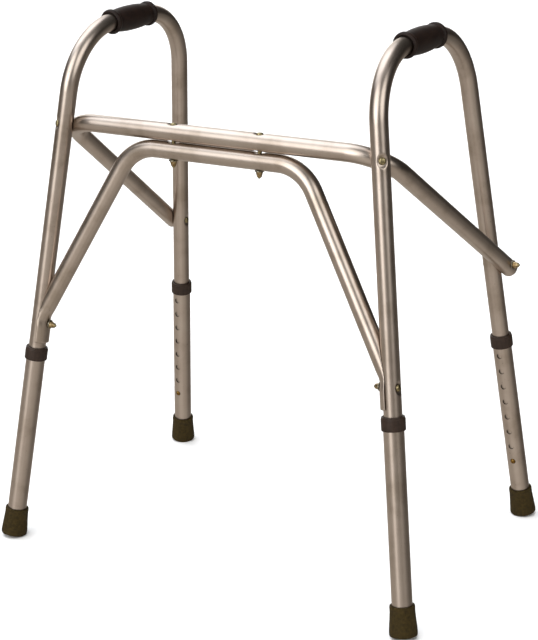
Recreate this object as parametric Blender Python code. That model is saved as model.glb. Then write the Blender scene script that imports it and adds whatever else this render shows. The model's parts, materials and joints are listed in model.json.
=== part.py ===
"""Height-adjustable walking frame, standing on its four tips at its lowest setting.

Two bent side frames carry the handgrips. An upper front bar joins them and runs back down each side as a
brace, a lower front bar is bolted under it and to the front legs, and each leg ends in a sliding extension
held by a spring-loaded button. +Z is up, the user stands on the +Y side, +X is to the right of someone who
faces the front bars, and the origin is on the floor under the middle of the frame. Lengths are in
millimetres and are turned to metres where the meshes are made.
"""

import math

import bmesh
import bpy
import numpy as np
from mathutils import Matrix, Vector

MM = 0.001
GAP = 0.3

# Tube stock
TUBE_R = 12.7
EXTENSION_R = 14.3
WALL = 1.2
TUBE_SIDES = 12
SIDES = 16
FINE_STEP = 6.0

# Side frames: leg centre lines at the floor, and the corners where they would meet the top run
FRONT_FOOT = (335.2, -226.0, 0.0)
REAR_FOOT = (320.0, 226.0, 0.0)
ARCH_CORNER = (239.2, 132.0, 770.0)
ARCH_BEND = 101.0
ARCH_STEPS = 9

# Upper front bar, with the braces that are its two ends
UPPER_CORNER = (257.8, -143.7, 640.7)
UPPER_BEND = 61.0
BRACE_END = (300.2, 188.2, 407.1)

# Lower front bar: its ends aim at the front legs and are pressed flat round them
LOWER_CORNER = (138.2, -145.2, 614.9)
LOWER_BEND = 65.0
SADDLE_AIM_Z = 343.0
SADDLE_START_Z = 366.0
SADDLE_FLAT_Z = 334.0
SADDLE_END_Z = 311.5
SADDLE_THICK = 3.6
SADDLE_HALF_ANGLE = math.radians(74)
SADDLE_EDGE_POWER = 0.6

# Along each leg, measured up its centre line from the floor
LEG_TUBE_END = 72.0
HOLE_FIRST = 97.3
HOLE_PITCH = 25.4
HOLE_COUNT = 8
HOLE_R = 4.3
EXTENSION_END = 14.7
COLLAR_TOP = 306.4
COLLAR_HEIGHT = 19.3
COLLAR_R = 16.8
COLLAR_LIP = 3.0
COLLAR_LIP_BORE_R = 13.12
TIP_BOTTOM = 2.7
TIP_TOP = 45.6
TIP_TOP_R = 17.1
TIP_FOOT_R = 19.7
TIP_FLOOR = 12.3
TIP_WASHER = 1.5

# Snap button and the clip that carries it
BUTTON_R = 4.0
BUTTON_FLANGE_R = 5.2
BUTTON_TOP = 16.3
BUTTON_SEAT = 8.8
BUTTON_FLANGE_THICK = 1.0
CLIP_THICK = 0.8
CLIP_WIDE = 8.0

# Handgrip: half length, end bead and barrel
GRIP_HALF = 50.0
GRIP_BEAD_HALF = 2.9
GRIP_BEAD_SHOULDER = 1.8
GRIP_BEAD_R = 17.9
GRIP_NECK_R = 16.3
GRIP_BARREL_R = 18.7
GRIP_BARREL_POWER = 2

# Fasteners
BOLT_R = 3.0
BOLT_HEAD_R = 5.2
BOLT_HEAD_HIGH = 2.8
BOLT_HOLE_R = 3.4
BOLT_SIDES = 12
WASHER_R = 7.0
WASHER_THICK = 1.2
NUT_R = 5.4
NUT_NOSE_R = 3.9
NUT_HIGH = 7.0
BOLT_STICKS_OUT = 2.6
FRONT_BOLT_X = 70.0
BEND_HOLLOW = 0.6
LOWER_BOLT_Z = 340.0
LOWER_BOLT_TURN = math.radians(6)

# Where a bolt clamps a tube, the wall is pressed down to a flat spot this far from the tube's axis
HEAD_SEAT = 10.3
FACING_SEAT = 10.9
FLAT_HALF = 5.6
FLAT_REACH = 11.5

SIDE_NAMES = {1: "right", -1: "left"}


def unit(vector):
    """The vector at length one."""
    vector = np.asarray(vector, float)
    return vector / np.linalg.norm(vector)


def on_side(point, side):
    """The point on the right (side 1) or mirrored to the left (side -1)."""
    return np.asarray(point, float) * (side, 1, 1)


def material(name, colour, metallic, roughness):
    """A plain Principled material."""
    made = bpy.data.materials.new(name)
    made.use_nodes = True
    shader = made.node_tree.nodes["Principled BSDF"]
    shader.inputs["Base Color"].default_value = (*colour, 1)
    shader.inputs["Metallic"].default_value = metallic
    shader.inputs["Roughness"].default_value = roughness
    made.diffuse_color = (*colour, 1)
    return made


def add_object(name, mesh, finish, parent=None):
    """Link a mesh as a named object, shaded smooth with its hard edges kept."""
    mesh.materials.append(finish)
    mesh.shade_smooth()
    mesh.set_sharp_from_angle(angle=math.radians(35))
    made = bpy.data.objects.new(name, mesh)
    bpy.context.scene.collection.objects.link(made)
    made.parent = parent
    return made


def frame_matrix(origin, along, towards):
    """A placement at origin (mm) with local +Z along one direction and +Y as near as it gets to another."""
    z_axis = unit(along)
    y_axis = unit(np.asarray(towards, float) - z_axis * np.dot(towards, z_axis))
    x_axis = np.cross(y_axis, z_axis)
    placed = Matrix(np.column_stack([x_axis, y_axis, z_axis]).tolist()).to_4x4()
    placed.translation = Vector(origin) * MM
    return placed


# ---------------------------------------------------------------- paths and tubes


def rounded_path(corners, bend, bend_steps):
    """Points and directions along straight runs whose inner corners are arcs of one bend radius."""
    corners = [np.asarray(corner, float) for corner in corners]
    points = [corners[0]]
    directions = [unit(corners[1] - corners[0])]
    for before, corner, after in zip(corners, corners[1:], corners[2:]):
        arrive = unit(corner - before)
        leave = unit(after - corner)
        turn = math.acos(float(np.dot(arrive, leave)))
        reach = bend * math.tan(turn / 2)
        inward = unit(leave - arrive * np.dot(arrive, leave))
        centre = corner - arrive * reach + inward * bend
        for step in range(bend_steps + 1):
            angle = turn * step / bend_steps
            points.append(centre + bend * (arrive * math.sin(angle) - inward * math.cos(angle)))
            directions.append(arrive * math.cos(angle) + inward * math.sin(angle))
    points.append(corners[-1])
    directions.append(unit(corners[-1] - corners[-2]))
    return points, directions


def add_stations(points, directions, centre, reach):
    """Split the stretches within reach of a place into short steps, where a tube is pressed out of round."""
    new_points = [points[0]]
    new_directions = [directions[0]]
    for first, last, ahead, end in zip(points, points[1:], directions, directions[1:]):
        length = np.linalg.norm(last - first)
        nearest = np.clip(np.dot(centre - first, last - first) / length, 0, length)
        low = max(nearest - reach, 0)
        high = min(nearest + reach, length)
        close = np.linalg.norm(first + (last - first) * nearest / length - centre) < reach
        if close and length > FINE_STEP * 1.5:
            for place in np.linspace(low, high, int((high - low) / FINE_STEP) + 2):
                if 1e-6 < place < length - 1e-6:
                    share = place / length
                    new_points.append(first + (last - first) * share)
                    new_directions.append(unit(ahead * (1 - share) + end * share))
        new_points.append(last)
        new_directions.append(end)
    return new_points, new_directions


def tube_rings(points, directions, normal, radius, sides):
    """Rings of a round tube: points round each centre, in the plane square to the path."""
    angles = (np.arange(sides) + 0.5) * (2 * math.pi / sides)
    rings = []
    for point, ahead in zip(points, directions):
        across = unit(normal - ahead * np.dot(normal, ahead))
        upward = np.cross(across, ahead)
        rings.append(point + radius * (np.outer(np.cos(angles), upward) + np.outer(np.sin(angles), across)))
    return np.array(rings)


def tube_mesh(name, outer, inner):
    """A closed tube wall from matching outer and inner rings, with an annulus at each end."""
    count, sides = outer.shape[:2]
    coordinates = np.concatenate([outer, inner]).reshape(-1, 3) * MM
    faces = []
    for ring in range(count - 1):
        for side in range(sides):
            after = (side + 1) % sides
            a = ring * sides + side
            b = ring * sides + after
            c = b + sides
            d = a + sides
            inside = count * sides
            faces.append((a, b, c, d))
            faces.append((a + inside, d + inside, c + inside, b + inside))
    for side in range(sides):
        after = (side + 1) % sides
        last = (count - 1) * sides
        inside = count * sides
        faces.append((side, side + inside, after + inside, after))
        faces.append((last + side, last + after, last + after + inside, last + side + inside))
    mesh = bpy.data.meshes.new(name)
    mesh.from_pydata(coordinates.tolist(), [], faces)
    work = bmesh.new()
    work.from_mesh(mesh)
    bmesh.ops.recalc_face_normals(work, faces=work.faces)
    work.to_mesh(mesh)
    work.free()
    return mesh


def pressed(rings, axis_point, axis, away, radius):
    """Rings with every point that would be nearer than radius to another tube's axis moved out to it.

    The points move along the away direction, as when a tube is pressed against the round one beside it.
    """
    offsets = rings - axis_point
    sideways = np.cross(axis, away)
    across = offsets @ sideways
    height = offsets @ away
    along = offsets @ axis
    room = np.sqrt(np.clip(radius**2 - across**2, 0, None))
    near = (np.abs(along) < 70) & (np.abs(across) < radius) & (height > -radius) & (height < room)
    return rings + np.where(near, room - height, 0.0)[..., None] * away


def flattened(rings, axis_point, axis, outward, seat, round_radius):
    """Rings whose outward side is pressed down to a flat spot at seat from the axis, with sloping ends."""
    offsets = rings - axis_point
    along = np.abs(offsets @ axis)
    height = offsets @ outward
    slope = np.clip((along - FLAT_HALF) / (FLAT_REACH - FLAT_HALF), 0, 1)
    excess = np.where(along < FLAT_REACH, height - seat - (round_radius - seat) * slope, 0.0)
    return rings - np.maximum(excess, 0)[..., None] * outward


def nearest_pair(point, ahead, other, other_ahead):
    """The points where two straight lines pass each other most closely."""
    across = np.array([[1.0, -np.dot(ahead, other_ahead)], [np.dot(ahead, other_ahead), -1.0]])
    apart = other - point
    first, second = np.linalg.solve(across, [np.dot(apart, ahead), np.dot(apart, other_ahead)])
    return point + ahead * first, other + other_ahead * second


# ---------------------------------------------------------------- turned pieces


def turned_mesh(name, profile, sides):
    """A solid of revolution about local Z from a closed outline of (radius, height) points in mm."""
    work = bmesh.new()
    corners = [work.verts.new((radius * MM, 0, height * MM)) for radius, height in profile]
    outline = [work.edges.new(pair) for pair in zip(corners, corners[1:] + corners[:1])]
    outline = [edge for edge in outline if any(vertex.co.x > 1e-7 for vertex in edge.verts)]
    bmesh.ops.spin(
        work,
        geom=corners + outline,
        axis=(0, 0, 1),
        cent=(0, 0, 0),
        steps=sides,
        angle=2 * math.pi,
        use_duplicate=False,
    )
    bmesh.ops.remove_doubles(work, verts=work.verts, dist=1e-6)
    loose = [edge for edge in work.edges if not edge.link_faces]
    bmesh.ops.delete(work, geom=loose, context="EDGES")
    bmesh.ops.recalc_face_normals(work, faces=work.faces)
    mesh = bpy.data.meshes.new(name)
    work.to_mesh(mesh)
    work.free()
    return mesh


def add_cutter(name, mesh, placed, targets):
    """A hidden cutter that is taken out of each target by a Boolean."""
    cutter = bpy.data.objects.new(name, mesh)
    bpy.context.scene.collection.objects.link(cutter)
    cutter.matrix_world = placed
    cutter.hide_render = True
    cutter.display_type = "WIRE"
    for target in targets:
        cut = target.modifiers.new(name, "BOOLEAN")
        cut.operation = "DIFFERENCE"
        cut.solver = "EXACT"
        cut.object = cutter


def rod_mesh(name, radius, low, high, sides):
    """A plain round rod along local Z."""
    return turned_mesh(name, [(0, low), (radius, low), (radius, high), (0, high)], sides)


# ---------------------------------------------------------------- the lines that the pieces share


class Leg:
    """One leg's centre line: its foot, the direction up it, and the ways its holes and its joints face."""

    def __init__(self, end, side):
        foot, sign = (FRONT_FOOT, -1) if end == "front" else (REAR_FOOT, 1)
        self.name = f"{end}_{SIDE_NAMES[side]}"
        self.end = end
        self.side = side
        self.foot = on_side(foot, side)
        self.corner = on_side(ARCH_CORNER, side) * (1, sign, 1)
        self.up = unit(self.corner - self.foot)
        self.holes_face = np.array([0, -sign, 0], float)
        self.inward = unit(np.cross(self.up, (0, side, 0)))

    def at(self, distance):
        """The point that far up the centre line."""
        return self.foot + self.up * distance

    def at_height(self, height):
        """The centre line's point at a height over the floor."""
        return self.foot + self.up * (height / self.up[2])


class Joint:
    """A bolted joint: the first tube's centre and line, the way the bolt points, and how far it clamps.

    reach is the distance from the first tube's centre to the face that the washer sits on.
    """

    def __init__(self, place, side, centre, line, across, reach):
        self.name = f"{place}_{SIDE_NAMES[side]}"
        self.place = place
        self.side = side
        self.centre = centre
        self.line = line
        self.across = across
        self.reach = reach


def upper_bar_corners():
    return [on_side(BRACE_END, -1), on_side(UPPER_CORNER, -1), UPPER_CORNER, BRACE_END]


def find_joints(legs):
    """Where the bars pass the legs most closely, and the other two places where the tubes are bolted."""
    joints = []
    bend_points = np.array(rounded_path(upper_bar_corners(), UPPER_BEND, 180)[0])
    top = np.array(UPPER_CORNER) * (0, 1, 1)
    bottom = np.array(LOWER_CORNER) * (0, 1, 1)
    for side in (1, -1):
        front, rear = legs["front", side], legs["rear", side]
        on_bar = min(bend_points, key=lambda p: np.linalg.norm(np.cross(p - front.foot, front.up)))
        on_leg = front.at(np.dot(on_bar - front.foot, front.up))
        gap = np.linalg.norm(on_bar - on_leg)
        reach = gap + TUBE_R + BEND_HOLLOW
        joints.append(Joint("upper_bar", side, on_leg, front.up, (on_bar - on_leg) / gap, reach))

        corner = on_side(UPPER_CORNER, side)
        brace = unit(on_side(BRACE_END, side) - corner)
        on_bar, on_leg = nearest_pair(corner, brace, rear.foot, rear.up)
        gap = np.linalg.norm(on_bar - on_leg)
        joints.append(Joint("brace", side, on_leg, rear.up, (on_bar - on_leg) / gap, gap + TUBE_R))

        turn = Matrix.Rotation(-side * LOWER_BOLT_TURN, 3, Vector(front.up))
        across = np.array((turn @ Vector(front.inward)).to_tuple())
        reach = TUBE_R + GAP + SADDLE_THICK
        joints.append(Joint("lower_bar", side, front.at_height(LOWER_BOLT_Z), front.up, across, reach))

        gap = np.linalg.norm(bottom - top)
        centre = top + (side * FRONT_BOLT_X, 0, 0)
        joints.append(Joint("front_bars", side, centre, np.array([1.0, 0, 0]), (bottom - top) / gap, gap + TUBE_R))
    return joints


# ---------------------------------------------------------------- side frames, grips and bars


def arch_path(front, rear):
    """The side frame's centre line from the lower end of its front leg over the top to its rear leg's."""
    corners = [front.at(LEG_TUBE_END), front.corner, rear.corner, rear.at(LEG_TUBE_END)]
    return rounded_path(corners, ARCH_BEND, ARCH_STEPS)


def arch_normal(front, rear):
    """The direction square to the side frame, from its two corners and the middle between its feet."""
    middle = (front.foot + rear.foot) / 2
    return unit(np.cross(rear.corner - front.corner, middle - front.corner))


def add_side_frame(front, rear, joints, finish):
    points, directions = arch_path(front, rear)
    on_legs = [joint for joint in joints if joint.place != "front_bars" and joint.side == front.side]
    for joint in on_legs:
        points, directions = add_stations(points, directions, joint.centre, FLAT_REACH)
    walls = []
    for inset in (0, WALL):
        rings = tube_rings(points, directions, arch_normal(front, rear), TUBE_R - inset, TUBE_SIDES)
        for joint in on_legs:
            seat = HEAD_SEAT - inset
            rings = flattened(rings, joint.centre, joint.line, -joint.across, seat, TUBE_R - inset)
        walls.append(rings)
    name = f"side_frame_{SIDE_NAMES[front.side]}"
    return add_object(name, tube_mesh(name, *walls), finish)


def grip_radius(place):
    """The grip's outer radius at a signed distance from its middle: a swollen barrel between two beads."""
    distance = abs(place)
    if distance > GRIP_HALF - 2 * GRIP_BEAD_HALF:
        rounding = 1 - ((GRIP_HALF - GRIP_BEAD_HALF - distance) / GRIP_BEAD_HALF) ** 2
        return GRIP_NECK_R + (GRIP_BEAD_R - GRIP_NECK_R) * math.sqrt(max(rounding, 0))
    share = distance / (GRIP_HALF - 2 * GRIP_BEAD_HALF)
    return GRIP_BARREL_R - (GRIP_BARREL_R - GRIP_NECK_R) * share**GRIP_BARREL_POWER


def add_grip(front, rear, finish):
    """A moulded sleeve over the top run of the side frame, following its line."""
    points, directions = map(np.array, arch_path(front, rear))
    lengths = np.r_[0, np.cumsum(np.linalg.norm(np.diff(points, axis=0), axis=1))]
    middle = lengths[-1] / 2
    bead = GRIP_HALF - GRIP_BEAD_HALF
    barrel = bead - GRIP_BEAD_HALF
    shoulder = GRIP_BEAD_SHOULDER
    half = [barrel / 3, barrel * 2 / 3, barrel, bead - shoulder, bead, bead + shoulder, GRIP_HALF]
    places = [-place for place in reversed(half)] + [0] + half
    stations = [np.array([np.interp(middle + p, lengths, points[:, k]) for k in range(3)]) for p in places]
    aheads = [unit([np.interp(middle + p, lengths, directions[:, k]) for k in range(3)]) for p in places]
    unit_rings = tube_rings(stations, aheads, arch_normal(front, rear), 1.0, TUBE_SIDES)
    centres = np.array(stations)[:, None, :]
    radii = np.array([grip_radius(p) for p in places])[:, None, None]
    outer = centres + (unit_rings - centres) * radii
    inner = centres + (unit_rings - centres) * (TUBE_R + GAP)
    name = f"handgrip_{SIDE_NAMES[front.side]}"
    return add_object(name, tube_mesh(name, outer, inner), finish)


def add_upper_bar(joints, finish):
    """The upper front bar with a brace at each end, pressed where it passes the legs and the lower bar."""
    points, directions = rounded_path(upper_bar_corners(), UPPER_BEND, 9)
    on_bar = [joint for joint in joints if joint.place != "lower_bar"]
    for joint in on_bar:
        if joint.place == "front_bars":
            points, directions = add_stations(points, directions, joint.centre, FLAT_REACH)
        else:
            crossing = joint.centre + joint.across * (joint.reach - TUBE_R)
            points, directions = add_stations(points, directions, crossing, 21)
    brace = unit(np.subtract(BRACE_END, UPPER_CORNER))
    normal = unit(np.cross((1, 0, 0), (0, brace[1], brace[2])))
    walls = []
    for inset in (0, WALL):
        radius = TUBE_R - inset
        rings = tube_rings(points, directions, normal, radius, TUBE_SIDES)
        for joint in on_bar:
            if joint.place == "front_bars":
                place = (joint.centre, joint.line)
                rings = flattened(rings, *place, -joint.across, HEAD_SEAT - inset, radius)
                rings = flattened(rings, *place, joint.across, FACING_SEAT - inset, radius)
            else:
                rings = pressed(rings, joint.centre, joint.line, joint.across, TUBE_R + 3 * GAP + inset)
        walls.append(rings)
    name = "upper_front_bar"
    return add_object(name, tube_mesh(name, *walls), finish)


def saddle_rings(leg, heights, inset):
    """Rings of the flattened tube end: a crescent that hugs the leg's inner side."""
    sideways = np.cross(leg.up, leg.inward)
    angles = (np.arange(SIDES) + 0.5) * (2 * math.pi / SIDES)
    half = SADDLE_THICK / 2 - inset
    turn = (SADDLE_HALF_ANGLE - inset / TUBE_R) * np.cos(angles)
    bulge = np.sign(np.sin(angles)) * np.abs(np.sin(angles)) ** SADDLE_EDGE_POWER
    radius = TUBE_R + GAP + SADDLE_THICK / 2 + half * bulge
    shape = np.outer(radius * np.sin(turn), sideways) + np.outer(radius * np.cos(turn), leg.inward)
    return np.array([leg.at_height(height) + shape for height in heights])


def lower_bar_side(leg, joint):
    """Outer and inner rings from the middle of the lower bar to its flattened end on one front leg."""
    corner = on_side(LOWER_CORNER, leg.side)
    middle = corner * (0, 1, 1)
    aim = leg.at_height(SADDLE_AIM_Z)
    points, directions = rounded_path([middle, corner, aim], LOWER_BEND, 9)
    ahead = directions[-1]
    round_z = SADDLE_START_Z + 45
    morph = np.concatenate([
        np.linspace(round_z, SADDLE_START_Z, 6)[:-1],
        np.linspace(SADDLE_START_Z, SADDLE_FLAT_Z, 6),
    ])
    points = points[:-1] + [aim + ahead * ((z - SADDLE_AIM_Z) / ahead[2]) for z in morph]
    directions = directions[:-1] + [ahead] * len(morph)
    points, directions = add_stations(points, directions, middle + (leg.side * FRONT_BOLT_X, 0, 0), FLAT_REACH)
    normal = unit(np.cross(aim - corner, middle - corner)) * leg.side
    blend = np.clip((SADDLE_START_Z - morph) / (SADDLE_START_Z - SADDLE_FLAT_Z), 0, 1)
    blend = (blend**2 * (3 - 2 * blend))[:, None, None]
    ends = [SADDLE_FLAT_Z - 8, (SADDLE_FLAT_Z + SADDLE_END_Z) / 2 - 4, SADDLE_END_Z]
    walls = []
    for inset in (0, WALL):
        rings = tube_rings(points, directions, normal, TUBE_R - inset, SIDES)
        rings = flattened(
            rings,
            middle + (leg.side * FRONT_BOLT_X, 0, 0),
            joint.line,
            -joint.across,
            FACING_SEAT - inset,
            TUBE_R - inset,
        )
        clear_of_leg = (aim, leg.up, leg.inward, TUBE_R + GAP + inset)
        rings[2:] = pressed(rings[2:], *clear_of_leg)
        crescents = saddle_rings(leg, morph, inset)
        order = best_order(rings[-len(morph)], crescents[0])
        crescents = np.array([reordered(ring, order) for ring in crescents])
        blended = rings[-len(morph):] * (1 - blend) + crescents * blend
        rings[-len(morph):] = pressed(blended, *clear_of_leg)
        last = np.array([reordered(ring, order) for ring in saddle_rings(leg, ends, inset)])
        walls.append(np.concatenate([rings, last]))
    return walls


def reordered(ring, order):
    """The ring's points rolled round and, if asked, taken the other way round."""
    turn, backwards = order
    ring = ring[::-1] if backwards else ring
    return np.roll(ring, turn, axis=0)


def best_order(target, ring):
    """The order of the ring's points that puts them nearest to the target's, so that the wall doesn't twist."""
    choices = [(turn, backwards) for turn in range(len(ring)) for backwards in (False, True)]
    return min(choices, key=lambda order: np.linalg.norm(reordered(ring, order) - target))


def add_lower_bar(legs, joints, finish):
    """The lower front bar, with both ends pressed flat round the front legs."""
    joint = next(joint for joint in joints if joint.name == "front_bars_right")
    walls = []
    for wall in lower_bar_side(legs["front", 1], joint):
        order = best_order(wall[0], wall[0] * (-1, 1, 1))
        mirrored = np.array([reordered(ring, order) for ring in wall[:0:-1] * (-1, 1, 1)])
        walls.append(np.concatenate([mirrored, wall]))
    name = "lower_front_bar"
    return add_object(name, tube_mesh(name, *walls), finish)


# ---------------------------------------------------------------- leg extensions


def add_extension(leg, holder, finish):
    """The outer tube that slides on the leg, with its row of button holes."""
    rings = [np.array([0, 0, EXTENSION_END]), np.array([0, 0, COLLAR_TOP - COLLAR_LIP - GAP])]
    ahead = [np.array([0, 0, 1.0])] * 2
    outer = tube_rings(rings, ahead, np.array([1.0, 0, 0]), EXTENSION_R, SIDES)
    inner = tube_rings(rings, ahead, np.array([1.0, 0, 0]), EXTENSION_R - WALL, SIDES)
    name = f"leg_extension_{leg.name}"
    made = add_object(name, tube_mesh(name, outer, inner), finish, holder)
    drills = bmesh.new()
    for number in range(HOLE_COUNT):
        drill = rod_mesh("drill", HOLE_R, 5, EXTENSION_R + 4, 12)
        turn = Matrix.Translation((0, 0, (HOLE_FIRST + number * HOLE_PITCH) * MM))
        drill.transform(turn @ Matrix.Rotation(math.radians(-90), 4, "X"))
        drills.from_mesh(drill)
        bpy.data.meshes.remove(drill)
    mesh = bpy.data.meshes.new(f"button_holes_{leg.name}")
    drills.to_mesh(mesh)
    drills.free()
    add_cutter(f"button_holes_{leg.name}", mesh, holder.matrix_world, [made])


def add_collar(leg, holder, finish):
    """The moulded bush pressed over the top of the extension, with a lip that guides the leg."""
    low = COLLAR_TOP - COLLAR_HEIGHT
    lip = COLLAR_TOP - COLLAR_LIP
    bore = EXTENSION_R + GAP
    profile = [(bore, low), (COLLAR_R - 1.2, low), (COLLAR_R, low + 1.4), (COLLAR_R, COLLAR_TOP - 2.2)]
    profile += [(COLLAR_R - 0.7, COLLAR_TOP - 0.7), (COLLAR_R - 2.2, COLLAR_TOP)]
    profile += [(COLLAR_LIP_BORE_R, COLLAR_TOP), (COLLAR_LIP_BORE_R, lip), (bore, lip)]
    name = f"collar_{leg.name}"
    add_object(name, turned_mesh(name, profile, SIDES), finish, holder)


def add_tip(leg, holder, finish):
    """The rubber tip: a flared cup over the extension's end, its low edge squashed level on the floor."""
    bore = EXTENSION_R + GAP
    lip = TIP_TOP_R + 0.6
    profile = [(0, TIP_BOTTOM), (TIP_FOOT_R - 1, TIP_BOTTOM), (TIP_FOOT_R, TIP_BOTTOM + 2)]
    profile += [(TIP_FOOT_R - 0.5, TIP_BOTTOM + 11), (TIP_TOP_R - 0.2, TIP_TOP - 6)]
    profile += [(lip, TIP_TOP - 4.5), (lip, TIP_TOP - 1.5), (TIP_TOP_R - 0.6, TIP_TOP), (bore, TIP_TOP)]
    profile += [(bore, TIP_FLOOR), (0, TIP_FLOOR)]
    name = f"rubber_tip_{leg.name}"
    mesh = turned_mesh(name, profile, SIDES)
    work = bmesh.new()
    work.from_mesh(mesh)
    to_local = holder.matrix_world.to_3x3().inverted()
    cut = bmesh.ops.bisect_plane(
        work,
        geom=work.verts[:] + work.edges[:] + work.faces[:],
        plane_co=(0, 0, 0),
        plane_no=to_local @ Vector((0, 0, -1)),
        clear_outer=True,
    )
    rim = [item for item in cut["geom_cut"] if isinstance(item, bmesh.types.BMEdge)]
    bmesh.ops.contextual_create(work, geom=rim)
    bmesh.ops.recalc_face_normals(work, faces=work.faces)
    work.to_mesh(mesh)
    work.free()
    add_object(name, mesh, finish, holder)


def add_tip_washer(leg, holder, finish):
    """The steel disc inside the tip that keeps the tube's end from cutting through the rubber."""
    low = TIP_FLOOR + GAP
    profile = [(4, low), (EXTENSION_R - 0.3, low), (EXTENSION_R - 0.3, low + TIP_WASHER), (4, low + TIP_WASHER)]
    name = f"tip_washer_{leg.name}"
    add_object(name, turned_mesh(name, profile, SIDES), finish, holder)


def add_snap_button(leg, finish):
    """The button through the leg and its extension, its origin on the line it is pressed along."""
    flange = BUTTON_SEAT + BUTTON_FLANGE_THICK
    profile = [(0, BUTTON_SEAT), (BUTTON_FLANGE_R, BUTTON_SEAT), (BUTTON_FLANGE_R, flange), (BUTTON_R, flange)]
    profile += [(BUTTON_R, BUTTON_TOP - 2.2), (BUTTON_R - 0.7, BUTTON_TOP - 0.8)]
    profile += [(BUTTON_R - 2.2, BUTTON_TOP - 0.1), (0, BUTTON_TOP)]
    name = f"snap_button_{leg.name}"
    made = add_object(name, turned_mesh(name, profile, BOLT_SIDES), finish)
    outward = unit(leg.holes_face - leg.up * np.dot(leg.holes_face, leg.up))
    made.matrix_world = frame_matrix(leg.at(HOLE_FIRST), outward, leg.up)
    return made


def strip_mesh(name, line, thickness, width):
    """A bent strip: its centre line in the local YZ plane, given its thickness and then its width along X."""
    line = np.array(line, float)
    ahead = np.gradient(line, axis=0)
    ahead /= np.linalg.norm(ahead, axis=1)[:, None]
    normal = np.column_stack([-ahead[:, 1], ahead[:, 0]]) * thickness / 2
    outline = np.concatenate([line + normal, (line - normal)[::-1]])
    work = bmesh.new()
    corners = [work.verts.new((-width / 2 * MM, y * MM, z * MM)) for y, z in outline]
    face = work.faces.new(corners)
    grown = bmesh.ops.extrude_face_region(work, geom=[face])
    moved = [item for item in grown["geom"] if isinstance(item, bmesh.types.BMVert)]
    bmesh.ops.translate(work, verts=moved, vec=(width * MM, 0, 0))
    bmesh.ops.recalc_face_normals(work, faces=work.faces)
    mesh = bpy.data.meshes.new(name)
    work.to_mesh(mesh)
    work.free()
    return mesh


def add_button_clip(leg, finish):
    """The folded spring strip inside the leg: one arm behind the button, the other on the far wall."""
    near = 8.0
    far = -9.2
    fold = 36.0
    line = [(near, -7), (near, 7)]
    bend = 3.0
    for step in range(7):
        angle = math.pi * step / 6
        line.append((bend * math.cos(angle) - 0.6, fold + bend * math.sin(angle)))
    line += [(far, 7), (far, -7)]
    name = f"button_clip_{leg.name}"
    made = add_object(name, strip_mesh(name, line, CLIP_THICK, CLIP_WIDE), finish)
    made.matrix_world = frame_matrix(leg.at(HOLE_FIRST), leg.up, leg.holes_face)


# ---------------------------------------------------------------- fasteners


def add_fastener(joint, targets, finishes):
    """A bolt, washer and nose nut through two tubes, with the holes that they need."""
    steel, yellow_zinc = finishes
    towards = (0, 0, 1) if abs(joint.across[2]) < 0.9 else (0, 1, 0)
    placed = frame_matrix(joint.centre, joint.across, towards)
    seat = -HEAD_SEAT - GAP
    head = seat - BOLT_HEAD_HIGH
    washer = joint.reach + GAP
    nut = washer + WASHER_THICK + GAP
    end = nut + NUT_HIGH + BOLT_STICKS_OUT
    bolt_outline = [
        (0, head),
        (BOLT_HEAD_R - 2.4, head + 0.3),
        (BOLT_HEAD_R - 0.7, head + 1.2),
        (BOLT_HEAD_R, seat - 0.5),
        (BOLT_HEAD_R, seat),
        (BOLT_R, seat),
        (BOLT_R, end - 1.6),
        (BOLT_R - 1.1, end - 0.3),
        (0, end),
    ]
    washer_outline = [
        (BOLT_R + GAP, washer),
        (WASHER_R, washer),
        (WASHER_R, washer + WASHER_THICK),
        (BOLT_R + GAP, washer + WASHER_THICK),
    ]
    nut_outline = [
        (BOLT_R + GAP, nut),
        (NUT_R, nut),
        (NUT_R, nut + 3),
        (NUT_NOSE_R, nut + NUT_HIGH),
        (BOLT_R + GAP, nut + NUT_HIGH),
    ]
    bolt = add_object(f"bolt_{joint.name}", turned_mesh("bolt", bolt_outline, BOLT_SIDES), yellow_zinc)
    ring = add_object(f"washer_{joint.name}", turned_mesh("washer", washer_outline, BOLT_SIDES), steel)
    cone = add_object(f"nut_{joint.name}", turned_mesh("nut", nut_outline, BOLT_SIDES), steel)
    for piece in (bolt, ring, cone):
        piece.matrix_world = placed
    name = f"bolt_hole_{joint.name}"
    drill = rod_mesh(name, BOLT_HOLE_R, -TUBE_R - 1, joint.reach + 1, BOLT_SIDES)
    add_cutter(name, drill, placed, targets)


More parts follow.
